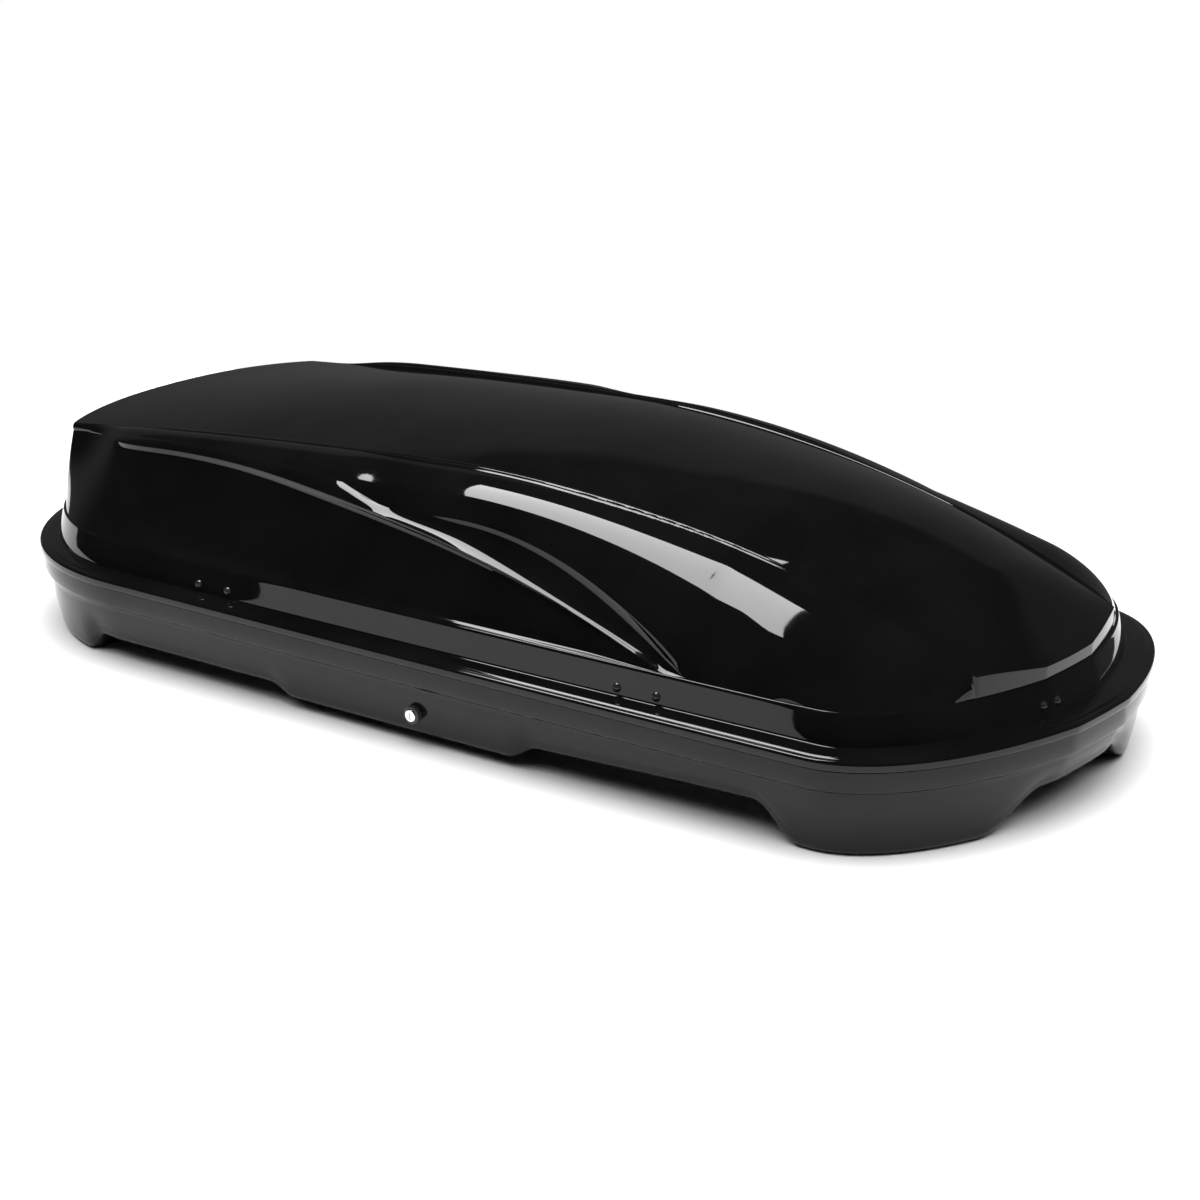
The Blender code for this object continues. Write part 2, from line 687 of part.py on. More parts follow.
def make_strut(tag, x, parts, root, pivot, looks):
    """A gas strut: its bracket and head stud are fixed, its tube swings and its rod slides."""
    frame = far_frame() @ Matrix.Translation((x, 0, 0))
    foot = Vector((0, *STRUT_FOOT))
    head = Vector((0, *STRUT_HEAD))
    span = (head - foot).length
    stand = Matrix.Rotation(-math.atan2(head.y - foot.y, head.z - foot.z), 4, "X")
    tube_frame = frame @ Matrix.Translation(foot) @ stand
    swing = add_pivot(f"strut_{tag}_swing", tube_frame, root)
    slide = add_pivot(f"strut_{tag}_slide", tube_frame, root)

    def up(length):
        return tube_frame @ Matrix.Translation((0, 0, length))

    def across(centre):
        return tube_frame @ along_x(centre)

    tube_end = span - 0.022
    tube = add_object(
        f"strut_{tag}_tube",
        round_mesh("tube", 0.0085, tube_end - 0.004, up(0.004 + (tube_end - 0.004) / 2)),
        parts,
        swing,
    )
    combine(tube, round_mesh("eye", 0.0085, 0.009, across((0, 0, 0))), "UNION")
    combine(tube, round_mesh("eye_hole", 0.0040, 0.03, across((0, 0, 0))), "DIFFERENCE")
    bore = up(0.014 + tube_end / 2)
    combine(tube, round_mesh("bore", 0.0045, tube_end, bore), "DIFFERENCE")
    finish(tube, looks["black_steel"])

    rod_start = 0.018
    rod_end = span - 0.010
    rod = add_object(
        f"strut_{tag}_rod",
        round_mesh("rod", 0.0040, rod_end - rod_start, up((rod_start + rod_end) / 2)),
        parts,
        slide,
    )
    combine(rod, round_mesh("eye", 0.0130, 0.007, across((0, 0, span)), 24), "UNION")
    combine(rod, round_mesh("eye_hole", 0.0095, 0.03, across((0, 0, span)), 24), "DIFFERENCE")
    finish(rod, looks["steel"])

    floor = FLOOR + WALL + GAP - foot.z
    bracket_frame = frame @ Matrix.Translation(foot)
    upright = [(-0.014, floor), (0.014, floor), (0.008, 0.006), (-0.008, 0.006)]
    bracket = add_object(
        f"strut_{tag}_foot",
        plate_mesh("upright", upright, 0.003, bracket_frame @ section(-0.0112)),
        parts,
        root,
    )
    base = bracket_frame @ Matrix.Translation((-0.001, 0, floor + 0.0012))
    combine(bracket, box_mesh("base", (0.032, 0.0276, 0.0024), base), "UNION")
    stem = bracket_frame @ along_x((-0.0025, 0, 0))
    combine(bracket, round_mesh("stud", 0.0036, 0.019, stem), "UNION")
    finish(bracket, looks["black_steel"])

    # The lid's stud stands on an arm that reaches out to the lid's side panel
    head_frame = frame @ Matrix.Translation(head)
    axis_y = side_line(x) + HINGE_OUT + head.y
    low = panel_half_width(x, head.z - 0.004) - axis_y
    high = panel_half_width(x, head.z + 0.016) - axis_y
    arm = [(-0.005, -0.005), (low, -0.004), (high, 0.016), (-0.005, 0.006)]
    stud = add_object(
        f"strut_{tag}_head", plate_mesh("arm", arm, 0.003, head_frame @ section(0.008)), parts, pivot
    )
    combine(stud, round_mesh("stud", 0.0030, 0.018, head_frame @ along_x((0.0005, 0, 0))), "UNION")
    finish(stud, looks["black_steel"])


def panel_half_width(x, z):
    """Half width inside the lid's recessed side panel, with a little air."""
    foot = half_width_at(x) - FLANGE_MID - FLANGE_SLOPE * x / HALF_LENGTH - SKIRT_LEAN - LEDGE
    return foot - ridge_lean(x) * (z - SKIRT_TOP) - PANEL_DEPTH - WALL - 0.0014


def make_lock(parts, root, looks):
    """The key lock, and the sliding bar whose hooks it draws over the lid's two strikers."""
    side = near_frame()
    axis = side @ Matrix.Translation((LOCK_X, 0, LOCK_Z)) @ Matrix.Rotation(-math.pi / 2, 4, "X")
    turn = add_pivot("lock_turn", axis, root)
    slide = add_pivot("bar_slide", side, root)

    def inward(start, end):
        """A frame on the lock's axis, midway between two depths from the lip."""
        return axis @ Matrix.Translation((0, 0, (start + end) / 2))

    collar = round_mesh("collar", 0.0125, 0.0080, inward(0.0100, 0.0180), 32)
    barrel = add_object("lock_barrel", collar, parts, root)
    combine(barrel, round_mesh("sleeve", 0.0108, 0.0312, inward(0.0160, 0.0472), 32), "UNION")
    combine(barrel, round_mesh("bore", 0.0090, 0.08, inward(0.0, 0.05), 32), "DIFFERENCE")
    finish(barrel, looks["plastic"])

    plug = round_mesh("plug", 0.0086, 0.0395, inward(0.0080, 0.0475), 32)
    core = add_object("lock_core", plug, parts, turn)
    slot = axis @ Matrix.Translation((0, 0, 0.0080))
    combine(core, box_mesh("key_slot", (0.0020, 0.0100, 0.0120), slot), "DIFFERENCE")
    finish(core, looks["chrome"])

    housing = side @ Matrix.Translation((LOCK_X, 0.0415, LOCK_Z))
    block = add_object("lock_housing", box_mesh("block", (0.040, 0.0120, 0.026), housing), parts, root)
    combine(block, round_mesh("bore", 0.0112, 0.05, inward(0.02, 0.06), 32), "DIFFERENCE")
    finish(block, looks["plastic"])

    lean = Matrix.Rotation(-math.pi / 4, 4, "Z")
    lever = [(-0.0060, 0.0060), (0.0060, 0.0060), (0.0036, -0.0155), (-0.0036, -0.0155)]
    # The frame's Y points down, so the lever stands up along -Y
    lever_mesh = plate_mesh("lever", lever, 0.0028, inward(0.0479, 0.0507) @ lean)
    cam = add_object("lock_cam", lever_mesh, parts, turn)
    reach = BAR_INSET + 0.0030
    pin = inward(0.0500, reach) @ lean @ Matrix.Translation((0, -CAM, 0))
    combine(cam, round_mesh("pin", 0.0018, reach - 0.0500, pin), "UNION")
    finish(cam, looks["steel"])

    rear = CATCH_X[0] - 0.045
    front = CATCH_X[1] + 0.015
    fork = LOCK_X - CAM * math.sin(math.pi / 4)
    top = BAR_Z + 0.007
    bottom = BAR_Z - 0.007
    tine = BAR_Z - 0.020
    notch = BAR_Z - 0.0085
    outline = [
        (rear, bottom), (fork - 0.0075, bottom), (fork - 0.0075, tine), (fork - 0.0025, tine),
        (fork - 0.0025, notch), (fork + 0.0025, notch), (fork + 0.0025, tine),
        (fork + 0.0075, tine), (fork + 0.0075, bottom), (front, bottom), (front, top), (rear, top),
    ]
    strip = plate_mesh("bar", outline, 0.003, upright_frame(side, 0, BAR_INSET))
    bar = add_object("lock_bar", strip, parts, slide)
    finish(bar, looks["plastic"])

    for tag, x in (("rear", CATCH_X[0]), ("front", CATCH_X[1])):
        make_catch(tag, x, side, parts, root, slide, looks)


def upright_frame(side, x, y):
    """A frame at a depth from the lip whose XY plane stands along the lock side."""
    return side @ Matrix.Translation((x, y, 0)) @ Matrix.Rotation(math.pi / 2, 4, "X")


def make_catch(tag, x, side, parts, root, slide, looks):
    """A hook on the bar, the striker it slides over and the guide that carries the bar."""
    foot = BAR_Z - 0.007
    outline = [
        (-0.032, foot), (-0.016, foot), (-0.016, 0.0178), (-0.003, 0.0178), (-0.003, 0.0228),
        (-0.026, 0.0228), (-0.032, 0.0150),
    ]
    frame = upright_frame(side, x, BAR_INSET - 0.0015 - GAP - 0.002)
    hook = add_object(f"hook_{tag}", plate_mesh("hook", outline, 0.004, frame), parts, slide)
    finish(hook, looks["plastic"])

    guide_x = x + 0.055 if tag == "rear" else x - 0.070
    spot = side @ Vector((guide_x, 0.045, 0))
    low = float(tray_bottom(np.array([[spot.x, spot.y]]))[0]) + WALL + 2 * GAP
    outer = BAR_INSET - 0.0085
    inner = BAR_INSET + 0.0085
    posts = [(outer, low), (inner, low), (inner, -0.034), (outer, -0.034)]
    guide = add_object(
        f"guide_{tag}", plate_mesh("guide", posts, 0.012, side @ section(guide_x)), parts, root
    )
    hole = side @ Matrix.Translation((guide_x, BAR_INSET, BAR_Z))
    combine(guide, box_mesh("hole", (0.03, 0.0042, 0.0154), hole), "DIFFERENCE")
    finish(guide, looks["plastic"])


def make_striker(tag, x, parts, pivot, looks):
    """An angle riveted inside the lid's skirt; its tongue lies under the hook's nose."""
    side = near_frame()
    bow = side_line(x) - half_width_at(x)
    back = bow + FLANGE_MID + FLANGE_SLOPE * x / HALF_LENGTH + SKIRT_LEAN + WALL + 0.0012
    angle = [
        (back, 0.0140), (BAR_INSET + 0.004, 0.0140), (BAR_INSET + 0.004, 0.0168),
        (back + 0.0026, 0.0168),
        (back + 0.0026, 0.0400), (back, 0.0400),
    ]
    striker = add_object(
        f"striker_{tag}", plate_mesh("angle", angle, 0.060, side @ section(x + 0.033)), parts, pivot
    )
    finish(striker, looks["steel"])


def make_clamp(tag, x, y, parts, root, looks):
    """A crossbar clamp: turning the knob draws the moving jaw towards the fixed one."""
    place = Matrix.Translation((x, y, 0))
    flat = FLOOR + WALL + GAP
    turn = add_pivot(f"clamp_{tag}_turn", place, root)
    slide = add_pivot(f"clamp_{tag}_slide", place, root)

    base = place @ Matrix.Translation((0, 0, flat + 0.007))
    housing = add_object(f"clamp_{tag}_base", box_mesh("base", (0.124, 0.056, 0.014), base), parts, root)
    boss = place @ Matrix.Translation((0, 0, flat + 0.012))
    combine(housing, round_mesh("boss", 0.016, 0.012, boss, 24), "UNION")
    combine(housing, round_mesh("bore", 0.0046, 0.08, boss), "DIFFERENCE")
    finish(housing, looks["plastic"])

    lobes = [
        (
            (KNOB_RADIUS - 0.003 * (1 - math.cos(6 * a))) * math.cos(a),
            (KNOB_RADIUS - 0.003 * (1 - math.cos(6 * a))) * math.sin(a),
        )
        for a in np.linspace(0, math.tau, 36, endpoint=False)
    ]
    cap = place @ Matrix.Translation((0, 0, flat + 0.028))
    knob = add_object(f"clamp_{tag}_knob", plate_mesh("knob", lobes, 0.018, cap), parts, turn)
    spindle = place @ Matrix.Translation((0, 0, flat + 0.0135))
    combine(knob, round_mesh("spindle", 0.0040, 0.025, spindle), "UNION")
    finish(knob, looks["grip"])

    upper = FLOOR + 0.0028
    lower = FLOOR + 0.0004
    toe = FOOT_BOTTOM + 0.0035
    edge = JAW_HALF_GAP
    jaw = [
        (0.014, lower), (0.014, upper), (edge + 0.008, upper), (edge + 0.008, toe),
        (edge - 0.012, toe), (edge - 0.012, toe + 0.005), (edge, toe + 0.005), (edge, lower),
    ]
    stand = place @ Matrix.Rotation(math.pi / 2, 4, "X")
    moving = add_object(f"clamp_{tag}_jaw", plate_mesh("jaw", jaw, 0.020, stand), parts, slide)
    finish(moving, looks["black_steel"])
    fixed = add_object(
        f"clamp_{tag}_hook",
        plate_mesh("hook", [(-a, b) for a, b in jaw], 0.020, stand),
        parts,
        root,
    )
    finish(fixed, looks["black_steel"])


def skirt_spot(x, share, side):
    """A point of the lid's skirt at a share of its height, and the way out from it."""
    depth = FLANGE_MID + FLANGE_SLOPE * x / HALF_LENGTH + SKIRT_LEAN * share
    y = half_width_at(x) - depth
    z = SKIRT_BASE + (SKIRT_TOP - SKIRT_BASE) * share
    slope = SKIRT_LEAN / (SKIRT_TOP - SKIRT_BASE)
    return Vector((x, side * y, z)), Vector((TAPER, side, slope)).normalized()


def nose_spot(y, share):
    """The same on the nose's skirt, at a distance from the centre line."""
    outline = stations(400)
    front = outline[outline[:, 0] > 0.6]
    lean = SKIRT_LEAN + NOSE_LEAN
    skirt = inset(front, FLANGE_MID + FLANGE_SLOPE + lean * share)
    x = float(np.interp(-abs(y), -skirt[:, 1], skirt[:, 0]))
    z = SKIRT_BASE + (SKIRT_TOP - SKIRT_BASE) * share
    slope = 2 * FRONT_BOW * y / FRONT_HALF_WIDTH**2
    return Vector((x, y, z)), Vector((1, slope, lean / (SKIRT_TOP - SKIRT_BASE))).normalized()


def make_rivets(parts, pivot, looks):
    """Domed rivets on the lid's skirt, in pairs, each through its own drilled hole."""
    lid = bpy.data.objects["lid_shell"]
    spots = [(f"rivet_side_{i + 1}", *skirt_spot(x, 0.27, -1)) for i, x in enumerate(RIVET_X)]
    spots += [(f"rivet_nose_{i + 1}", *nose_spot(y, 0.30)) for i, y in enumerate(NOSE_RIVET_Y)]
    for name, point, out in spots:
        frame = facing(point + out * 0.0005, out)
        rivet = add_object(name, dome_mesh(name, 0.0062, 0.0034, 0.0032, frame), parts, pivot)
        finish(rivet, looks["rivet"])
        combine(lid, round_mesh(name + "_hole", 0.0030, 0.02, frame, 12), "DIFFERENCE")


def main():
    clear_scene()
    parts = new_collection(PARTS)
    new_collection("cutters", hidden=True)
    looks = {
        "gloss": material("black_gloss_shell", (0.008, 0.008, 0.009), 0.08),
        "tray": material("black_satin_tray", (0.014, 0.014, 0.015), 0.28),
        "rubber": material("seal_rubber", (0.012, 0.012, 0.012), 0.8),
        "steel": material("zinc_steel", (0.55, 0.55, 0.56), 0.35, 1.0),
        "black_steel": material("black_steel", (0.02, 0.02, 0.02), 0.4, 0.6),
        "plastic": material("black_plastic", (0.02, 0.02, 0.02), 0.5),
        "grip": material("grey_grip", (0.09, 0.09, 0.095), 0.55),
        "chrome": material("chrome", (0.85, 0.85, 0.86), 0.1, 1.0),
        "rivet": material("rivet_black", (0.02, 0.02, 0.02), 0.3),
    }
    root = bpy.data.objects.new("lip_frame", None)
    parts.objects.link(root)
    root.location = (0, CENTRE_SHIFT, LIP_HEIGHT)
    bpy.context.view_layer.update()
    lid_pivot = add_pivot("lid_hinge", far_frame(), root)

    make_tray(parts, root, looks)
    make_seal(parts, root, looks)
    make_rails(parts, root, looks)
    make_lid(parts, lid_pivot, looks)
    make_rivets(parts, lid_pivot, looks)
    for tag, x in zip(("rear", "front"), HINGE_X):
        make_hinge(tag, x, parts, root, lid_pivot, looks)
    for tag, x in zip(("rear", "front"), STRUT_X):
        make_strut(tag, x, parts, root, lid_pivot, looks)
    make_lock(parts, root, looks)
    for tag, x in zip(("rear", "front"), CATCH_X):
        make_striker(tag, x, parts, lid_pivot, looks)
    for end, x in zip(("rear", "front"), CLAMP_X):
        for side, y in (("near", -CLAMP_Y), ("far", CLAMP_Y)):
            make_clamp(f"{end}_{side}", x, y, parts, root, looks)
    bpy.context.view_layer.update()


main()
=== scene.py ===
"""Roof cargo box: the looks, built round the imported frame.

Metres. Shapes are drawn in the lip frame, whose z = 0 is the lid's lower edge, and lifted into
the row frame: +X is the low nose, -Y the lock side, +Y the hinge side, +Z up.
"""

import json
import math

import bmesh
import bpy
import numpy as np
from mathutils import Matrix, Vector


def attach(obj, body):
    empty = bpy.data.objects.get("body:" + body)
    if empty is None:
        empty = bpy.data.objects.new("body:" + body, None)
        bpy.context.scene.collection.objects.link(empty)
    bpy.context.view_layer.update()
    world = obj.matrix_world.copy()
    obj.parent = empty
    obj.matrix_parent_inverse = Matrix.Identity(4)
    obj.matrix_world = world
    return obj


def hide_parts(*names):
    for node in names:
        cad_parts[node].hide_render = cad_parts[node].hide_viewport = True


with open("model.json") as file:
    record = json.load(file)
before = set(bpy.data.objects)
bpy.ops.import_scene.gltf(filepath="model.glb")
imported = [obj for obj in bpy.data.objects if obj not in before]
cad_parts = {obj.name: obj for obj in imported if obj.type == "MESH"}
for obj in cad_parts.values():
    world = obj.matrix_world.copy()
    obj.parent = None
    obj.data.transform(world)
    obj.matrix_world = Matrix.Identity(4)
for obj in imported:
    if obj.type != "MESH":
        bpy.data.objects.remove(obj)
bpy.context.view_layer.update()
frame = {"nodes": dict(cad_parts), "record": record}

# The lip frame's place in the row frame
CENTRE_SHIFT = -0.0060
LIP_HEIGHT = 0.120

# Plan of the lid's lower edge
HALF_LENGTH = 0.875
REAR_HALF_WIDTH = 0.419
FRONT_HALF_WIDTH = 0.363
REAR_BOW = 0.100
FRONT_BOW = 0.059
SIDE_BOW = 0.006
REAR_CORNER = (0.285, 0.274)
FRONT_CORNER = (0.298, 0.152)
CORNER_PULL = 0.62
TAPER = (REAR_HALF_WIDTH - FRONT_HALF_WIDTH) / (2 * HALF_LENGTH - REAR_BOW - FRONT_BOW)

# Lip, flange and skirt of the lid
WALL = 0.0032
SKIRT_BASE = 0.016
SKIRT_TOP = 0.057
SKIRT_LEAN = 0.0045
NOSE_LEAN = 0.0060
REAR_LEAN = 0.0042
FLANGE_MID = 0.034
FLANGE_SLOPE = 0.006
LEDGE = 0.0035

# Body of the lid
ROOF_PEAK = 0.230
ROOF_PEAK_X = 0.02
ROOF_CROWN = 0.028
NOSE_CROWN = 0.045
NOSE_HALF_WIDTH = 0.175
REAR_EDGE_X = (-0.772, -0.732)
SIDE_START_X = -0.55
SIDE_END_X = 0.45
BEAD_WIDTH = 0.018
BEAD_HEIGHT = 0.0022
FLUTE_DEPTH = 0.007
PANEL_DEPTH = 0.007
CREST_HEIGHT = 0.004

# Tray
RIM_TOP = -0.002
BAND_BOTTOM = -0.028
FLOOR = -0.086
CLAMP_X = (-0.40, 0.40)
CLAMP_Y = 0.22

# Lock and rivets
LOCK_X = 0.055
LOCK_Z = -0.072
RIVET_X = (-0.352, -0.297, 0.370, 0.430)
NOSE_RIVET_Y = (-0.075, -0.048)


# --- camera, light and floor ---------------------------------------------------------------


def make_camera():
    """A long lens from the nose end of the lock side, 18 degrees above the floor."""
    azimuth = math.radians(38.28)
    elevation = math.radians(18.141)
    distance = 4.0
    back = Vector((
        math.sin(azimuth) * math.cos(elevation),
        -math.cos(azimuth) * math.cos(elevation),
        math.sin(elevation),
    ))
    right = Vector((math.cos(azimuth), math.sin(azimuth), 0))
    up = back.cross(right)
    data = bpy.data.cameras.new("camera")
    data.sensor_width = 36
    data.lens = 83.76
    data.clip_end = 200
    camera = bpy.data.objects.new("camera", data)
    bpy.context.scene.collection.objects.link(camera)
    target = Vector((0, CENTRE_SHIFT, LIP_HEIGHT)) + right * 0.055 - up * 0.020
    turn = Matrix((right, up, back)).transposed().to_4x4()
    camera.matrix_world = Matrix.Translation(target + back * distance) @ turn
    bpy.context.scene.camera = camera


def make_world():
    """A white surround for soft light, which glossy surfaces see as a dim studio."""
    world = bpy.data.worlds.new("studio")
    bpy.context.scene.world = world
    world.use_nodes = True
    tree = world.node_tree
    nodes = tree.nodes
    nodes.clear()
    place = nodes.new("ShaderNodeTexCoord")
    split = nodes.new("ShaderNodeSeparateXYZ")
    tree.links.new(place.outputs["Generated"], split.inputs[0])
    rise = nodes.new("ShaderNodeMapRange")
    rise.interpolation_type = "SMOOTHSTEP"
    rise.inputs["From Min"].default_value = 0.50
    rise.inputs["From Max"].default_value = 0.58
    rise.inputs["To Min"].default_value = 0.085
    rise.inputs["To Max"].default_value = 0.018
    tree.links.new(split.outputs["Z"], rise.inputs["Value"])
    side = nodes.new("ShaderNodeMapRange")
    side.interpolation_type = "SMOOTHSTEP"
    side.inputs["From Min"].default_value = -0.35
    side.inputs["From Max"].default_value = 0.15
    side.inputs["To Min"].default_value = 0.12
    side.inputs["To Max"].default_value = 1.0
    tree.links.new(split.outputs["Y"], side.inputs["Value"])
    dim = nodes.new("ShaderNodeMath")
    dim.operation = "MULTIPLY"
    tree.links.new(rise.outputs[0], dim.inputs[0])
    tree.links.new(side.outputs[0], dim.inputs[1])
    studio = nodes.new("ShaderNodeBackground")
    studio.inputs["Color"].default_value = (1.0, 0.96, 0.97, 1)
    tree.links.new(dim.outputs[0], studio.inputs["Strength"])
    overhead = nodes.new("ShaderNodeMapRange")
    overhead.inputs["From Min"].default_value = 0.60
    overhead.inputs["From Max"].default_value = 0.95
    overhead.inputs["To Min"].default_value = 0.0
    overhead.inputs["To Max"].default_value = 6.0
    tree.links.new(split.outputs["Z"], overhead.inputs["Value"])
    ceiling = nodes.new("ShaderNodeBackground")
    tree.links.new(overhead.outputs[0], ceiling.inputs["Strength"])
    backdrop = nodes.new("ShaderNodeBackground")
    backdrop.inputs["Color"].default_value = (1, 1, 1, 1)
    rays = nodes.new("ShaderNodeLightPath")
    shown = nodes.new("ShaderNodeMixShader")
    tree.links.new(rays.outputs["Is Camera Ray"], shown.inputs[0])
    tree.links.new(ceiling.outputs[0], shown.inputs[1])
    tree.links.new(backdrop.outputs[0], shown.inputs[2])
    mix = nodes.new("ShaderNodeMixShader")
    tree.links.new(rays.outputs["Is Glossy Ray"], mix.inputs[0])
    tree.links.new(shown.outputs[0], mix.inputs[1])
    tree.links.new(studio.outputs[0], mix.inputs[2])
    output = nodes.new("ShaderNodeOutputWorld")
    tree.links.new(mix.outputs[0], output.inputs["Surface"])


def add_softbox(name, place, aim, size, power):
    light = bpy.data.lights.new(name, "AREA")
    light.shape = "RECTANGLE"
    light.size, light.size_y = size
    light.energy = power
    lamp = bpy.data.objects.new(name, light)
    bpy.context.scene.collection.objects.link(lamp)
    lamp.location = place
    lamp.rotation_euler = (Vector(aim) - Vector(place)).to_track_quat("-Z", "Y").to_euler()
    lamp.visible_diffuse = False


def make_floor():
    """A pale table that reaches further on the camera's side than behind the box."""
    bm = bmesh.new()
    table = Matrix.Translation((0, -0.75, 0)) @ Matrix.Diagonal((2.3, 1.75, 1, 1))
    bmesh.ops.create_grid(bm, x_segments=24, y_segments=24, size=1, matrix=table)
    mesh = bpy.data.meshes.new("floor")
    bm.to_mesh(mesh)
    bm.free()
    floor = bpy.data.objects.new("floor", mesh)
    bpy.context.scene.collection.objects.link(floor)
    look, shader, _, _ = new_material("studio_floor")
    shader.inputs["Base Color"].default_value = (0.93, 0.93, 0.93, 1)
    shader.inputs["Roughness"].default_value = 0.9
    shader.inputs["Specular IOR Level"].default_value = 0.1
    mesh.materials.append(look)


# --- materials -----------------------------------------------------------------------------


def new_material(name):
    look = bpy.data.materials.new(name)
    look.use_nodes = True
    tree = look.node_tree
    return look, tree.nodes["Principled BSDF"], tree.nodes, tree.links


def noise(nodes, links, scale, detail=4, stretch=(1, 1, 1)):
    place = nodes.new("ShaderNodeTexCoord")
    mapping = nodes.new("ShaderNodeMapping")
    mapping.inputs["Scale"].default_value = stretch
    links.new(place.outputs["Object"], mapping.inputs["Vector"])
    grain = nodes.new("ShaderNodeTexNoise")
    grain.inputs["Scale"].default_value = scale
    grain.inputs["Detail"].default_value = detail
    links.new(mapping.outputs[0], grain.inputs["Vector"])
    return grain.outputs["Fac"]


def vary(nodes, links, source, low, high, target):
    span = nodes.new("ShaderNodeMapRange")
    span.inputs["From Min"].default_value = 0.3
    span.inputs["From Max"].default_value = 0.7
    span.inputs["To Min"].default_value = low
    span.inputs["To Max"].default_value = high
    links.new(source, span.inputs["Value"])
    links.new(span.outputs[0], target)


def tint(nodes, links, source, dark, light, target):
    ramp = nodes.new("ShaderNodeValToRGB")
    ramp.color_ramp.elements[0].position = 0.35
    ramp.color_ramp.elements[0].color = (*dark, 1)
    ramp.color_ramp.elements[1].position = 0.65
    ramp.color_ramp.elements[1].color = (*light, 1)
    links.new(source, ramp.inputs["Fac"])
    links.new(ramp.outputs["Color"], target)


def relief(nodes, links, source, depth, shader):
    bump = nodes.new("ShaderNodeBump")
    bump.inputs["Strength"].default_value = 1.0
    bump.inputs["Distance"].default_value = depth
    links.new(source, bump.inputs["Height"])
    links.new(bump.outputs["Normal"], shader.inputs["Normal"])


def plastic(
    name, dark, light, rough, grain_scale, grain_depth, metallic=0.0, stretch=(1, 1, 1), specular=0.5
):
    """A material whose colour, gloss and surface vary with fine procedural noise."""
    look, shader, nodes, links = new_material(name)
    tint(nodes, links, noise(nodes, links, 9, 3), dark, light, shader.inputs["Base Color"])
    fine = noise(nodes, links, grain_scale, 3, stretch)
    vary(nodes, links, noise(nodes, links, 35, 5, stretch), *rough, shader.inputs["Roughness"])
    relief(nodes, links, fine, grain_depth, shader)
    shader.inputs["Metallic"].default_value = metallic
    shader.inputs["Specular IOR Level"].default_value = specular
    return look


def make_looks():
    gloss = plastic(
        "black_gloss", (0.0030, 0.0030, 0.0033), (0.0046, 0.0045, 0.0048), (0.020, 0.045), 220, 2e-6,
        specular=0.31,
    )
    satin = plastic(
        "black_satin", (0.0050, 0.0050, 0.0053), (0.0075, 0.0074, 0.0077), (0.09, 0.16), 420, 1e-5,
        specular=0.26,
    )
    inside = plastic(
        "lid_inside", (0.014, 0.014, 0.015), (0.022, 0.022, 0.023), (0.42, 0.58), 900, 1.2e-4
    )
    return {
        "black_gloss": gloss,
        "black_satin": satin,
        "inside": inside,
        "rubber": plastic("rubber", (0.008, 0.008, 0.008), (0.016, 0.016, 0.016), (0.7, 0.9), 1500, 1e-4),
        "chrome": plastic("chrome", (0.82, 0.82, 0.84), (0.9, 0.9, 0.91), (0.06, 0.14), 300, 1e-6, 1.0),
        "rivet": plastic("rivet", (0.012, 0.012, 0.013), (0.022, 0.022, 0.023), (0.10, 0.2), 500, 4e-6),
        "black_steel": plastic(
            "black_steel", (0.016, 0.016, 0.017), (0.030, 0.030, 0.031), (0.35, 0.5), 1400, 6e-5
        ),
        "zinc_steel": plastic(
            "zinc_steel", (0.50, 0.51, 0.53), (0.66, 0.66, 0.67), (0.22, 0.40), 240, 8e-6, 1.0, (1, 14, 14)
        ),
        "black_plastic": plastic(
            "black_plastic", (0.014, 0.014, 0.015), (0.026, 0.026, 0.027), (0.40, 0.55), 1100, 6e-5
        ),
        "grey_grip": plastic(
            "grey_grip", (0.075, 0.075, 0.080), (0.11, 0.11, 0.115), (0.5, 0.65), 1300, 8e-5
        ),
    }


# --- plan and height formulas --------------------------------------------------------------


def smooth(x, low, high):
    t = np.clip((x - low) / (high - low), 0, 1)
    return t * t * (3 - 2 * t)


def corner_curve(start, tip, end, count):
    t = np.linspace(0, 1, count)[1:-1, None]
    a = start + (tip - start) * CORNER_PULL
    b = end + (tip - end) * CORNER_PULL
    return (1 - t) ** 3 * start + 3 * (1 - t) ** 2 * t * a + 3 * (1 - t) * t * t * b + t**3 * end


def half_outline():
    """The lid's lower edge from the rear centre round the +Y side to the front centre."""
    rear_tip = np.array([-HALF_LENGTH + REAR_BOW, REAR_HALF_WIDTH])
    front_tip = np.array([HALF_LENGTH - FRONT_BOW, FRONT_HALF_WIDTH])
    span = np.linalg.norm(front_tip - rear_tip)
    t = np.linspace(0, 1 - REAR_CORNER[0] / REAR_HALF_WIDTH, 60)
    rear = np.stack([-HALF_LENGTH + REAR_BOW * t * t, REAR_HALF_WIDTH * t], 1)
    t = np.linspace(REAR_CORNER[1] / span, 1 - FRONT_CORNER[1] / span, 240)[:, None]
    side = rear_tip + (front_tip - rear_tip) * t + np.array([0, 4 * SIDE_BOW]) * t * (1 - t)
    t = np.linspace(1 - FRONT_CORNER[0] / FRONT_HALF_WIDTH, 0, 60)
    front = np.stack([HALF_LENGTH - FRONT_BOW * t * t, FRONT_HALF_WIDTH * t], 1)
    rear_corner = corner_curve(rear[-1], rear_tip, side[0], 120)
    front_corner = corner_curve(side[-1], front_tip, front[0], 120)
    return np.vstack([rear, rear_corner, side, front_corner, front])


def lengths_along(points):
    return np.concatenate([[0], np.cumsum(np.linalg.norm(np.diff(points, axis=0), axis=1))])


def stations(count):
    points = half_outline()
    along = lengths_along(points)
    steps = np.linspace(0, along[-1], count)
    return np.stack([np.interp(steps, along, points[:, k]) for k in (0, 1)], 1)


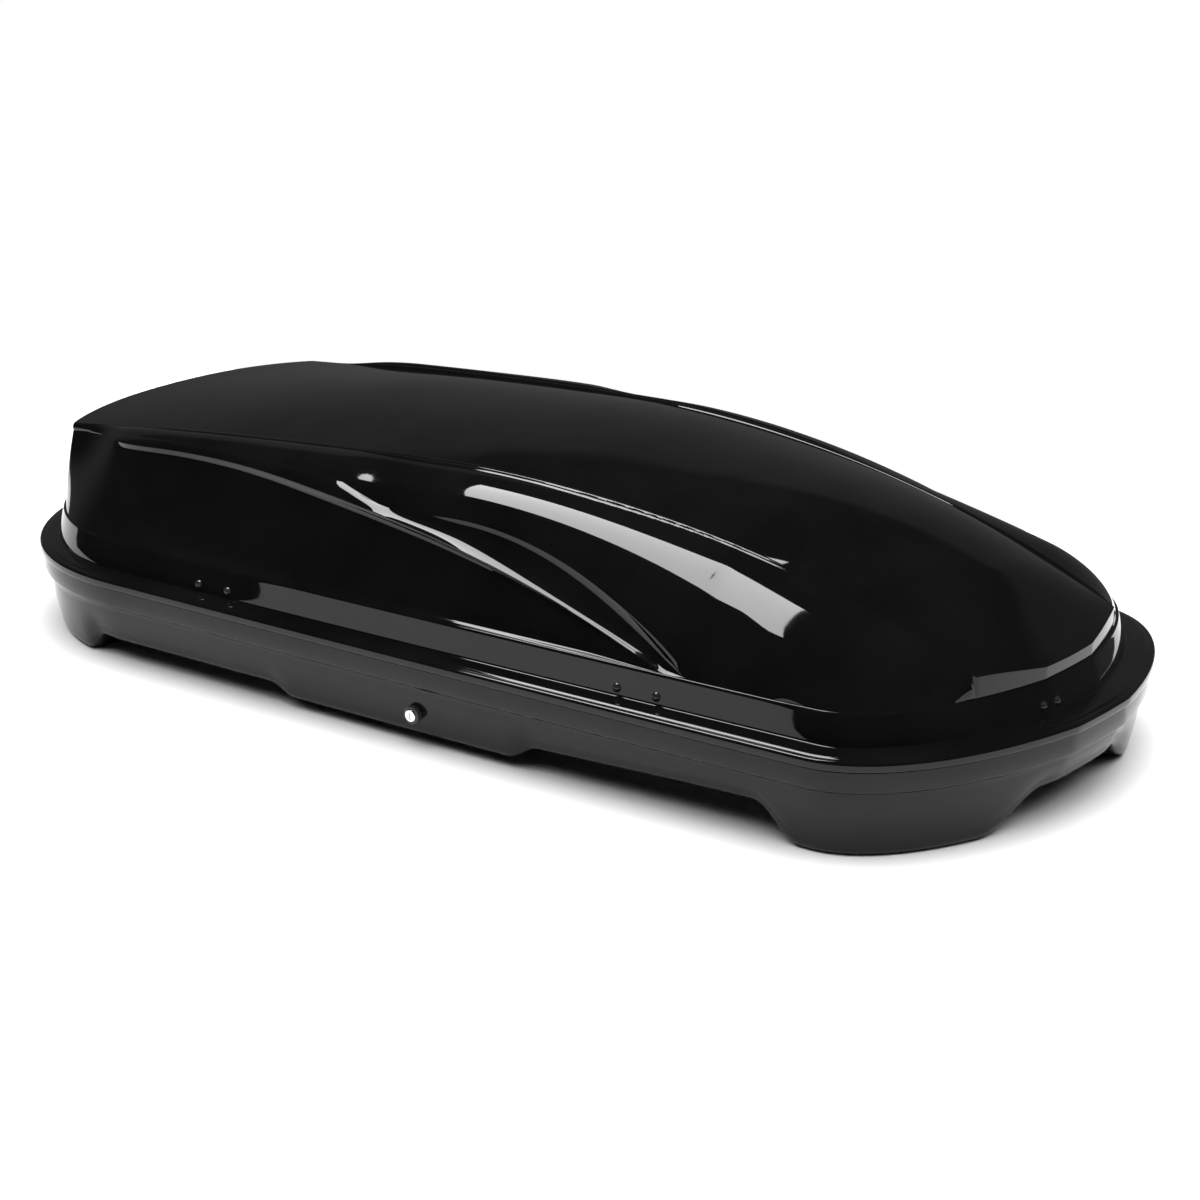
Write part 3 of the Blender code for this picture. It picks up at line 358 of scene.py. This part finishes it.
def inset(points, by):
    """The half outline moved in by a distance, or by one distance a point."""
    mirrored = [1, -1]
    padded = np.vstack([points[1] * mirrored, points, points[-2] * mirrored])
    tangent = padded[2:] - padded[:-2]
    tangent /= np.linalg.norm(tangent, axis=1)[:, None]
    outward = np.stack([-tangent[:, 1], tangent[:, 0]], 1)
    return points - outward * np.broadcast_to(by, len(points))[:, None]


def level(points, z):
    return np.column_stack([points, np.full(len(points), z)])


def flange_width(points):
    return FLANGE_MID + FLANGE_SLOPE * points[:, 0] / HALF_LENGTH


def skirt_lean(points):
    """How far the skirt's top stands in from its base; the two ends lean more than the middle."""
    x = points[:, 0]
    return SKIRT_LEAN + NOSE_LEAN * smooth(x, 0.58, 0.74) + REAR_LEAN * smooth(-x, 0.14, 0.36)


def side_line(x):
    rear_tip = -HALF_LENGTH + REAR_BOW
    return REAR_HALF_WIDTH - TAPER * (x - rear_tip) + SIDE_BOW


def half_width_at(x):
    outline = half_outline()
    sides = outline[:, 1] > 0.2
    return float(np.interp(x, outline[sides, 0], outline[sides, 1]))


def crease_y(x):
    """Half width of the roof panel between its two creases."""
    return 0.216 - 0.055 * x


def crease_z(x):
    ahead = ROOF_PEAK - 0.20 * (x - ROOF_PEAK_X) ** 2 - 0.08 * (x - ROOF_PEAK_X) ** 4
    behind = ROOF_PEAK - 0.08 * np.abs(x - ROOF_PEAK_X) ** 1.4
    return np.where(x > ROOF_PEAK_X, ahead, behind)


def crown(x):
    rise = ROOF_CROWN * (0.45 + 0.55 * smooth(x, -0.8, -0.3))
    rise = rise + (NOSE_CROWN - ROOF_CROWN) * smooth(x, 0.2, 0.62)
    return rise - NOSE_CROWN * smooth(x, 0.70, 0.845)


def roof_z(x, y):
    across = np.clip(np.abs(y) / crease_y(x), 0, 1)
    return crease_z(x) + crown(x) * (1 - across**2)


def ridge_z(x):
    """The arched ridge over each side panel."""
    return 0.191 - 0.205 * (x + 0.35) ** 2 - 0.021 * (x + 0.35) ** 4


def ridge_lean(x):
    """How far the side panel leans in for each metre of its height."""
    return 0.30 + 0.24 * smooth(-x, 0.0, 0.55)


def arch_z(x):
    """The upper edge of the flute that lies over the ridge."""
    return 0.1825 - 0.80 * (x - 0.076) ** 2


# --- the lid's skin ------------------------------------------------------------------------


def rear_edge_point(share):
    """A point of the roof's edge, from its rear centre to where the straight side starts."""
    turn = 0.58
    if share < turn:
        t = share / turn
        x = REAR_EDGE_X[0] + (REAR_EDGE_X[1] - REAR_EDGE_X[0]) * t**3
        y = crease_y(REAR_EDGE_X[1]) * t
    else:
        t = (share - turn) / (1 - turn)
        x = REAR_EDGE_X[1] + (SIDE_START_X - REAR_EDGE_X[1]) * t
        y = crease_y(x)
    return np.array([x, y, roof_z(x, y)])


def rear_ridge_point(share, edge, base):
    """The rounded top of the rear wall, which turns into the side ridge at the corner."""
    back = edge * 0.82 + base * 0.18
    back[2] = edge[2] - 0.012
    x = edge[0] + (base[0] - edge[0]) * share**6
    z = float(ridge_z(x))
    side = np.array([x, base[1] - ridge_lean(x) * (z - SKIRT_TOP), z])
    return back + (side - back) * smooth(share, 0.55, 0.95)


def nose_edge_point(share, meet_x):
    """A point of the crease that runs down over the shoulder to the nose's skirt."""
    x = SIDE_END_X + (meet_x - SIDE_END_X) * share
    y = crease_y(x) + (NOSE_HALF_WIDTH - crease_y(meet_x)) * share**2
    fade = smooth(share, 0.75, 1)
    z = crease_z(x) * (1 - fade) + max(SKIRT_TOP, crease_z(x)) * fade
    return np.array([x, y, z])


def bulge(low, high, share, swell):
    """A point between two guides, swollen square to the line between them."""
    chord = high - low
    flat = np.linalg.norm(chord[:, :2], axis=1)
    length = np.maximum(np.linalg.norm(chord, axis=1), 1e-6)
    out = np.column_stack([
        -chord[:, :2] * (chord[:, 2] / np.maximum(flat, 1e-6) / length)[:, None],
        flat / length,
    ])
    lift = swell * 4 * share * (1 - share)
    return low + chord * share + out * np.broadcast_to(lift, len(low))[:, None]


def lid_guides(outline):
    """For each station: the body's foot, the ridge, the arch over the flute, the roof's edge."""
    foot = inset(outline, flange_width(outline) + skirt_lean(outline) + LEDGE)
    along = lengths_along(foot)
    sides = foot[:, 1] > 0.15
    start = np.interp(SIDE_START_X, foot[sides, 0], along[sides])
    end = np.interp(SIDE_END_X, foot[sides, 0], along[sides])
    nose = foot[:, 0] > 0.5
    meet = np.interp(-NOSE_HALF_WIDTH, -foot[nose, 1], along[nose])
    meet_x = np.interp(-NOSE_HALF_WIDTH, -foot[nose, 1], foot[nose, 0])

    foot = level(foot, SKIRT_TOP)
    edge = foot.copy()
    ridge = foot.copy()
    for i, (x, y, z) in enumerate(foot):
        if along[i] < start:
            edge[i] = rear_edge_point(along[i] / start)
            ridge[i] = rear_ridge_point(along[i] / start, edge[i], foot[i])
        elif along[i] < end:
            edge[i] = (x, crease_y(x), crease_z(x))
            top = max(float(ridge_z(x)), z)
            ridge[i] = (x, y - ridge_lean(x) * (top - z), top)
        elif along[i] < meet:
            edge[i] = nose_edge_point((along[i] - end) / (meet - end), meet_x)

    spread = np.linalg.norm(edge - ridge, axis=1)
    free = bulge(ridge, edge, 0.2, 0.15 * spread)
    x = foot[:, 0]
    top = np.maximum(arch_z(x), SKIRT_TOP)
    cut = np.column_stack([x, foot[:, 1] - 0.40 * (top - SKIRT_TOP), top])
    ahead = smooth(x, -0.16, 0.04)[:, None] * (along > start)[:, None]
    arch = free * (1 - ahead) + cut * ahead
    gone = smooth(x, 0.44, 0.50)[:, None]
    arch = arch * (1 - gone) + foot * gone
    return foot, ridge, arch, edge


def shares(count, gather):
    """Steps from 0 to 1 that crowd towards both ends, or towards one end only."""
    t = np.linspace(0, 1, count + 1)[1:]
    if gather == "both":
        return t * t * (3 - 2 * t)
    if gather == "end":
        return 1 - (1 - t) ** 2
    return t**2


def lid_rings(outline):
    """The lid's outer skin, ring by ring from the lip to the roof's centre line."""
    foot, ridge, arch, edge = lid_guides(outline)
    flange = flange_width(outline)
    rings = lip_rings(outline, flange)
    x = outline[:, 0]
    side = smooth(foot[:, 1], 0.20, 0.26)

    height = ridge[:, 2] - foot[:, 2]
    for share in shares(22, "both"):
        point = bulge(foot, ridge, share, 0.02 * height)
        behind = point[:, 0] + 0.44 + (point[:, 2] - 0.05) * 1.38
        depth = PANEL_DEPTH * smooth(behind, 0, 0.016) * (1 - smooth(point[:, 0], 0.30, 0.44))
        depth = depth * smooth(share, 0.0, 0.06) * (1 - smooth(share, 0.90, 1.0)) * side
        rings.append(push(point, outline, -depth))

    gap = np.linalg.norm(arch - ridge, axis=1)
    fluted = smooth(x, -0.10, 0.08) * (1 - smooth(x, 0.42, 0.49)) * side
    sag = -FLUTE_DEPTH * fluted + 0.10 * gap * (1 - fluted)
    for share in shares(16, "both"):
        rings.append(bulge(ridge, arch, share, sag))

    spread = np.linalg.norm(edge - arch, axis=1)
    swell = (0.13 + 0.03 * smooth(x, -0.10, 0.08) * (1 - smooth(x, 0.30, 0.75))) * spread
    bead = BEAD_WIDTH * (1 - 0.6 * smooth(edge[:, 0], 0.20, 0.46)) * smooth(x, -0.72, -0.5)
    bead = bead * (1 - smooth(edge[:, 0], 0.76, 0.80))
    for share in shares(52, "end"):
        point = bulge(arch, edge, share, swell)
        reach = (1 - share) * spread
        wave = np.where(reach < bead, np.sin(math.tau * reach / np.maximum(bead, 1e-5)), 0)
        point[:, 2] += BEAD_HEIGHT * np.abs(wave) * (bead / BEAD_WIDTH) ** 0.7
        crest = 0.630 - 9 * (point[:, 2] - 0.03) ** 2
        off = np.abs(point[:, 0] - crest)
        tent = np.clip(1 - off / 0.075, 0, 1) ** 1.5
        tent = tent * (1 - smooth(point[:, 2], 0.13, 0.17)) * smooth(point[:, 1], 0.12, 0.2)
        rings.append(push(point, outline, CREST_HEIGHT * tent * (1 - share) ** 0.3))

    for share in shares(30, "start"):
        rings.append(roof_ring(edge, share))
    return rings


def push(points, outline, by):
    """Moves a ring's points outwards, square to the outline in plan."""
    moved = inset(outline, 1.0) - outline
    return points - np.column_stack([moved, np.zeros(len(moved))]) * by[:, None]


def lip_rings(outline, flange):
    """The rolled lip, the flange with its shallow step, and the skirt with rounded edges."""
    rings = [level(inset(outline, 0.0012), 0.0), level(inset(outline, 0.0003), 0.0007)]
    rings += [level(outline, z) for z in (0.0018, 0.0050, 0.0080)]
    for turn in np.linspace(0, math.pi / 2, 8)[1:]:
        back = 0.0048 * (1 - math.cos(turn))
        rings.append(level(inset(outline, back), 0.0080 + 0.0048 * math.sin(turn)))
    rings.append(level(inset(outline, 0.0090), 0.0130))
    rings.append(level(inset(outline, 0.0105), 0.0144))
    rings.append(level(inset(outline, 0.0125), 0.0148))
    for turn in np.linspace(0, math.pi / 2, 7):
        back = flange - 0.0035 * (1 - math.sin(turn))
        rings.append(level(inset(outline, back), SKIRT_BASE + 0.0030 * (1 - math.cos(turn))))
    lean = skirt_lean(outline)
    for share in (0.3, 0.6, 0.9):
        z = SKIRT_BASE + 0.003 + (SKIRT_TOP - SKIRT_BASE - 0.006) * share
        rings.append(level(inset(outline, flange + lean * share), z))
    for turn in np.linspace(0.15, math.pi / 2, 6):
        back = flange + lean + LEDGE * 0.7 * (1 - math.cos(turn))
        rings.append(level(inset(outline, back), SKIRT_TOP - 0.003 * (1 - math.sin(turn))))
    rings.append(level(inset(outline, flange + lean + LEDGE), SKIRT_TOP))
    return rings


def roof_ring(edge, share):
    centre = edge * [0.92, 0, 1]
    points = edge + (centre - edge) * share
    nose = smooth(edge[:, 0], 0.80, 0.83)
    sunk = roof_z(points[:, 0], points[:, 1])
    points[:, 2] = sunk * (1 - nose) + np.maximum(sunk, SKIRT_TOP) * nose
    return points


# --- the tray's skin -----------------------------------------------------------------------


def tray_bottom(points):
    """Height of the tray's lower edge: it dips into the feet and into each lock bay."""
    x = points[:, 0]
    y = np.abs(points[:, 1])
    base = -0.090 + 0.016 * smooth(x, 0.0, 0.62)
    bay = smooth(x, -0.215, -0.175) * (1 - smooth(x, 0.20, 0.245)) * smooth(y, 0.2, 0.25)
    rear_foot = (1 - smooth(x, -0.60, -0.555)) * smooth(y, 0.16, 0.24)
    front_foot = smooth(x, 0.58, 0.65) * smooth(y, 0.09, 0.20)
    base = base + (-0.105 - base) * bay
    return base + (-LIP_HEIGHT - base) * np.maximum(rear_foot, front_foot)


def tray_rings(outline):
    """The tray's outer skin, from the rim's inner edge over the band to the floor."""
    low = tray_bottom(outline)
    floor = inset(outline, 0.110)
    rings = [
        level(inset(outline, 0.034), RIM_TOP),
        level(inset(outline, 0.020), RIM_TOP),
        level(inset(outline, 0.0072), RIM_TOP),
        level(inset(outline, 0.0061), RIM_TOP - 0.0008),
        level(inset(outline, 0.0058), RIM_TOP - 0.003),
        level(inset(outline, 0.0052), -0.015),
        level(inset(outline, 0.0050), BAND_BOTTOM + 0.002),
        level(inset(outline, 0.0056), BAND_BOTTOM + 0.0004),
        level(inset(outline, 0.0075), BAND_BOTTOM - 0.0012),
        level(inset(outline, 0.0115), BAND_BOTTOM - 0.0030),
        level(inset(outline, 0.0140), BAND_BOTTOM - 0.0050),
    ]
    top = BAND_BOTTOM - 0.0065
    for share in np.linspace(0, 1, 8):
        depth = 0.0152 + 0.011 * share**1.8
        rings.append(np.column_stack([inset(outline, depth), top + (low + 0.014 - top) * share]))
    for turn in np.linspace(0, math.pi / 2, 7)[1:]:
        depth = 0.0262 + 0.013 * (1 - math.cos(turn))
        rings.append(np.column_stack([inset(outline, depth), low + 0.014 * (1 - math.sin(turn))]))
    for share in (0.35, 0.7, 1.0):
        rings.append(np.column_stack([inset(outline, 0.0392 + 0.0468 * share), low]))
    foot_in = inset(outline, 0.086)
    for share in (0.15, 0.5, 0.85):
        blend = smooth(share, 0, 1)
        rings.append(np.column_stack([foot_in + (floor - foot_in) * share, low + (FLOOR - low) * blend]))
    for share in np.linspace(0, 1, 12):
        rings.append(level(floor * [1 - 0.08 * share, 1 - share], FLOOR))
    return rings


# --- piece helpers -------------------------------------------------------------------------


def lift():
    return Matrix.Translation((0, CENTRE_SHIFT, LIP_HEIGHT))


def mesh_from(bm, name):
    bmesh.ops.recalc_face_normals(bm, faces=bm.faces)
    if bm.calc_volume(signed=True) < 0:
        bmesh.ops.reverse_faces(bm, faces=bm.faces)
    bm.transform(lift())
    mesh = bpy.data.meshes.new(name)
    bm.to_mesh(mesh)
    bm.free()
    return mesh


def loft(name, rings):
    """A skin through half rings, each mirrored to the -Y side and closed round."""
    bm = bmesh.new()
    rows = []
    for ring in rings:
        whole = np.vstack([ring, ring[-2:0:-1] * [1, -1, 1]])
        rows.append([bm.verts.new(point) for point in whole])
    for low, high in zip(rows, rows[1:]):
        for i, vert in enumerate(low):
            j = (i + 1) % len(low)
            bm.faces.new((vert, low[j], high[j], high[i]))
    bmesh.ops.remove_doubles(bm, verts=bm.verts, dist=2e-5)
    bmesh.ops.dissolve_degenerate(bm, edges=bm.edges, dist=1e-5)
    return mesh_from(bm, name)


def add_piece(name, mesh, body, slot, look, *nodes, sharp=40):
    piece = bpy.data.objects.new(name, mesh)
    bpy.context.scene.collection.objects.link(piece)
    mesh.materials.append(look)
    mesh.shade_smooth()
    mesh.set_sharp_from_angle(angle=math.radians(sharp))
    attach(piece, body)
    if nodes:
        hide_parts(*nodes)
    return piece


def thicken(piece, inner=None):
    solid = piece.modifiers.new("wall", "SOLIDIFY")
    solid.thickness = WALL
    solid.offset = -1
    if inner is not None:
        piece.data.materials.append(inner)
        solid.material_offset = 1
        solid.material_offset_rim = 0


def turned(name, profile, place, steps=48):
    """A profile of (radius, height) pairs turned about the place frame's Z."""
    bm = bmesh.new()
    verts = [bm.verts.new(place @ Vector((r, 0, z))) for r, z in profile]
    edges = [bm.edges.new(pair) for pair in zip(verts, verts[1:])]
    axis = place.to_3x3() @ Vector((0, 0, 1))
    bmesh.ops.spin(
        bm, geom=verts + edges, cent=place.translation, axis=axis, angle=math.tau, steps=steps
    )
    bmesh.ops.remove_doubles(bm, verts=bm.verts, dist=1e-6)
    return mesh_from(bm, name)


def arc(centre, radius, start, end, count):
    """Points of a round stretch of a profile; angles in degrees from the radius axis."""
    return [
        (centre[0] + radius * math.cos(a), centre[1] + radius * math.sin(a))
        for a in np.radians(np.linspace(start, end, count))
    ]


def facing(centre, normal):
    return Matrix.Translation(centre) @ Vector(normal).to_track_quat("Z", "Y").to_matrix().to_4x4()


def cut_with(piece, name, bm):
    mesh = mesh_from(bm, name)
    tool = bpy.data.objects.new(name, mesh)
    bpy.context.scene.collection.objects.link(tool)
    step = piece.modifiers.new(name, "BOOLEAN")
    step.operation = "DIFFERENCE"
    step.object = tool
    bpy.context.view_layer.objects.active = piece
    bpy.ops.object.modifier_apply(modifier=name)
    bpy.data.objects.remove(tool)


# --- pieces --------------------------------------------------------------------------------


def make_lid(looks):
    mesh = loft("lid_skin", lid_rings(stations(320)))
    lid = add_piece("lid_skin", mesh, "lid", "black_gloss", looks["black_gloss"], "lid_shell", sharp=50)
    thicken(lid, looks["inside"])


def make_tray(looks):
    mesh = loft("tray_skin", tray_rings(stations(240)))
    tray = add_piece("tray_skin", mesh, "tray", "black_satin", looks["black_satin"], "tray_shell")
    thicken(tray)
    bpy.context.view_layer.objects.active = tray
    bpy.ops.object.modifier_apply(modifier="wall")
    bm = bmesh.new()
    for x in CLAMP_X:
        for y in (-CLAMP_Y, CLAMP_Y):
            slot = Matrix.Translation((x, y, FLOOR)) @ Matrix.Diagonal((0.116, 0.024, 0.02, 1))
            bmesh.ops.create_cube(bm, size=1, matrix=slot)
    axis = lock_frame()
    bmesh.ops.create_cone(
        bm, cap_ends=True, segments=48, radius1=0.0113, radius2=0.0113, depth=0.04,
        matrix=axis @ Matrix.Translation((0, 0, 0.025)),
    )
    cut_with(tray, "openings", bm)


def lock_frame():
    """A frame on the lock's axis whose Z runs into the box from the lip."""
    turn = Matrix.Rotation(math.atan(TAPER), 4, "Z")
    side = Matrix.Translation((0, -side_line(0), 0)) @ turn
    return side @ Matrix.Translation((LOCK_X, 0, LOCK_Z)) @ Matrix.Rotation(-math.pi / 2, 4, "X")


def make_seal(looks):
    """A rubber bulb that lies on the tray's rim under the lid's flange."""
    outline = stations(240)
    low = RIM_TOP + 0.0004
    middle = (0.0215, low + 0.0042)
    rings = []
    for turn in np.linspace(0, math.tau, 25):
        depth = middle[0] - 0.0048 * math.cos(turn)
        height = max(middle[1] + 0.0042 * math.sin(turn), low)
        rings.append(level(inset(outline, depth), height))
    mesh = loft("seal_bulb", rings)
    add_piece("seal_bulb", mesh, "tray", "rubber", looks["rubber"], "rim_seal")


def rivet_profile():
    dome = arc((0, -0.0032), 0.0070, 24, 90, 10)
    return [(0, -0.0020), (0.0062, -0.0020), (0.0064, -0.0006), *dome]


def make_rivets(looks):
    """Domed rivet heads in pairs on the lid's skirt."""
    spots = [(f"rivet_side_{i + 1}", *skirt_spot(x, 0.27, -1)) for i, x in enumerate(RIVET_X)]
    spots += [(f"rivet_nose_{i + 1}", *nose_spot(y, 0.30)) for i, y in enumerate(NOSE_RIVET_Y)]
    for name, point, out in spots:
        mesh = turned(name + "_head", rivet_profile(), facing(point + out * 0.0006, out), 32)
        add_piece(name + "_head", mesh, "lid", "rivet", looks["rivet"], name, sharp=60)


def skirt_spot(x, share, side):
    """A point of the lid's skirt at a share of its height, and the way out from it."""
    lean = float(skirt_lean(np.array([[x, 0.0]]))[0])
    depth = FLANGE_MID + FLANGE_SLOPE * x / HALF_LENGTH + lean * share
    z = SKIRT_BASE + (SKIRT_TOP - SKIRT_BASE) * share
    slope = lean / (SKIRT_TOP - SKIRT_BASE)
    return Vector((x, side * (half_width_at(x) - depth), z)), Vector((TAPER, side, slope)).normalized()


def nose_spot(y, share):
    """The same on the nose's skirt, at a distance from the centre line."""
    outline = stations(400)
    front = outline[outline[:, 0] > 0.6]
    lean = SKIRT_LEAN + NOSE_LEAN
    skirt = inset(front, FLANGE_MID + FLANGE_SLOPE + lean * share)
    x = float(np.interp(-abs(y), -skirt[:, 1], skirt[:, 0]))
    z = SKIRT_BASE + (SKIRT_TOP - SKIRT_BASE) * share
    slope = 2 * FRONT_BOW * y / FRONT_HALF_WIDTH**2
    return Vector((x, y, z)), Vector((1, slope, lean / (SKIRT_TOP - SKIRT_BASE))).normalized()


def make_lock(looks):
    """The barrel's rounded collar, and the key plug with its bevelled face and key slot."""
    axis = lock_frame()
    collar = [(0.0090, 0.0472), (0.0108, 0.0472), (0.0108, 0.0176), (0.0125, 0.0176)]
    collar += arc((0.0112, 0.0113), 0.0013, 0, -90, 6)
    collar += [(0.0094, 0.0100), (0.0090, 0.0104), (0.0090, 0.0472)]
    mesh = turned("lock_collar", collar, axis)
    add_piece("lock_collar", mesh, "tray", "black_plastic", looks["black_plastic"], "lock_barrel")

    plug = [(0, 0.0475), (0.0086, 0.0475), (0.0086, 0.0092)]
    plug += arc((0.0074, 0.0092), 0.0012, 0, -90, 6)
    plug += [(0.0052, 0.0080), (0.0048, 0.0084), (0, 0.0084)]
    core = add_piece(
        "lock_plug", turned("lock_plug", plug, axis), "lock_core", "chrome", looks["chrome"], "lock_core"
    )
    bm = bmesh.new()
    slot = axis @ Matrix.Translation((0, 0, 0.0080)) @ Matrix.Diagonal((0.0016, 0.0076, 0.0120, 1))
    bmesh.ops.create_cube(bm, size=1, matrix=slot)
    cut_with(core, "key_slot", bm)


def make_knobs(looks):
    """Fluted clamp knobs with rounded rims and a raised hub."""
    flat = FLOOR + WALL + 0.0004
    for end, x in zip(("rear", "front"), CLAMP_X):
        for side, y in (("near", -CLAMP_Y), ("far", CLAMP_Y)):
            name = f"clamp_{end}_{side}_knob"
            mesh = knob_mesh(name + "_cap", x, y, flat)
            add_piece(name + "_cap", mesh, name, "grey_grip", looks["grey_grip"], name)


def knob_mesh(name, x, y, flat):
    radius = 0.0270
    foot = flat + 0.0190
    top = flat + 0.0370
    profile = [(0.0, flat + 0.0010), (0.0040, flat + 0.0010), (0.0040, foot), (radius - 0.002, foot)]
    profile += [(radius, foot + 0.002), (radius, top - 0.003)]
    profile += arc((radius - 0.003, top - 0.003), 0.003, 15, 90, 6)
    profile += [(0.0150, top - 0.0002), (0.0135, top - 0.0016), (0.0, top - 0.0016)]
    bm = bmesh.new()
    steps = 72
    rows = []
    for r, z in profile:
        row = []
        for a in np.linspace(0, math.tau, steps, endpoint=False):
            flute = 0.0028 * smooth(r, 0.018, 0.026) * (0.5 - 0.5 * math.cos(6 * a)) ** 1.5
            reach = max(r - flute, 0.0)
            row.append(bm.verts.new((x + reach * math.cos(a), y + reach * math.sin(a), z)))
        rows.append(row)
    for low, high in zip(rows, rows[1:]):
        for i in range(steps):
            j = (i + 1) % steps
            bm.faces.new((low[i], low[j], high[j], high[i]))
    bmesh.ops.remove_doubles(bm, verts=bm.verts, dist=1e-6)
    return mesh_from(bm, name)


def dress_cad_nodes(looks):
    """The frame's own pieces keep their shape and take a procedural finish by their slot."""
    finishes = {entry["node"]: entry["material_slot"] for entry in frame["record"]["subparts"]}
    for name, node in frame["nodes"].items():
        node.data.materials.clear()
        node.data.materials.append(looks[finishes[name]])
        node.data.shade_smooth()
        node.data.set_sharp_from_angle(angle=math.radians(30))


def main():
    make_camera()
    make_world()
    bpy.context.scene.view_settings.view_transform = "Standard"
    add_softbox(
        "overhead_softbox", place=(-0.80, -0.22, 2.5), aim=(-0.80, -0.22, 0.0), size=(1.6, 1.25), power=94
    )
    make_floor()
    looks = make_looks()
    dress_cad_nodes(looks)
    make_lid(looks)
    make_tray(looks)
    make_seal(looks)
    make_rivets(looks)
    make_lock(looks)
    make_knobs(looks)


main()
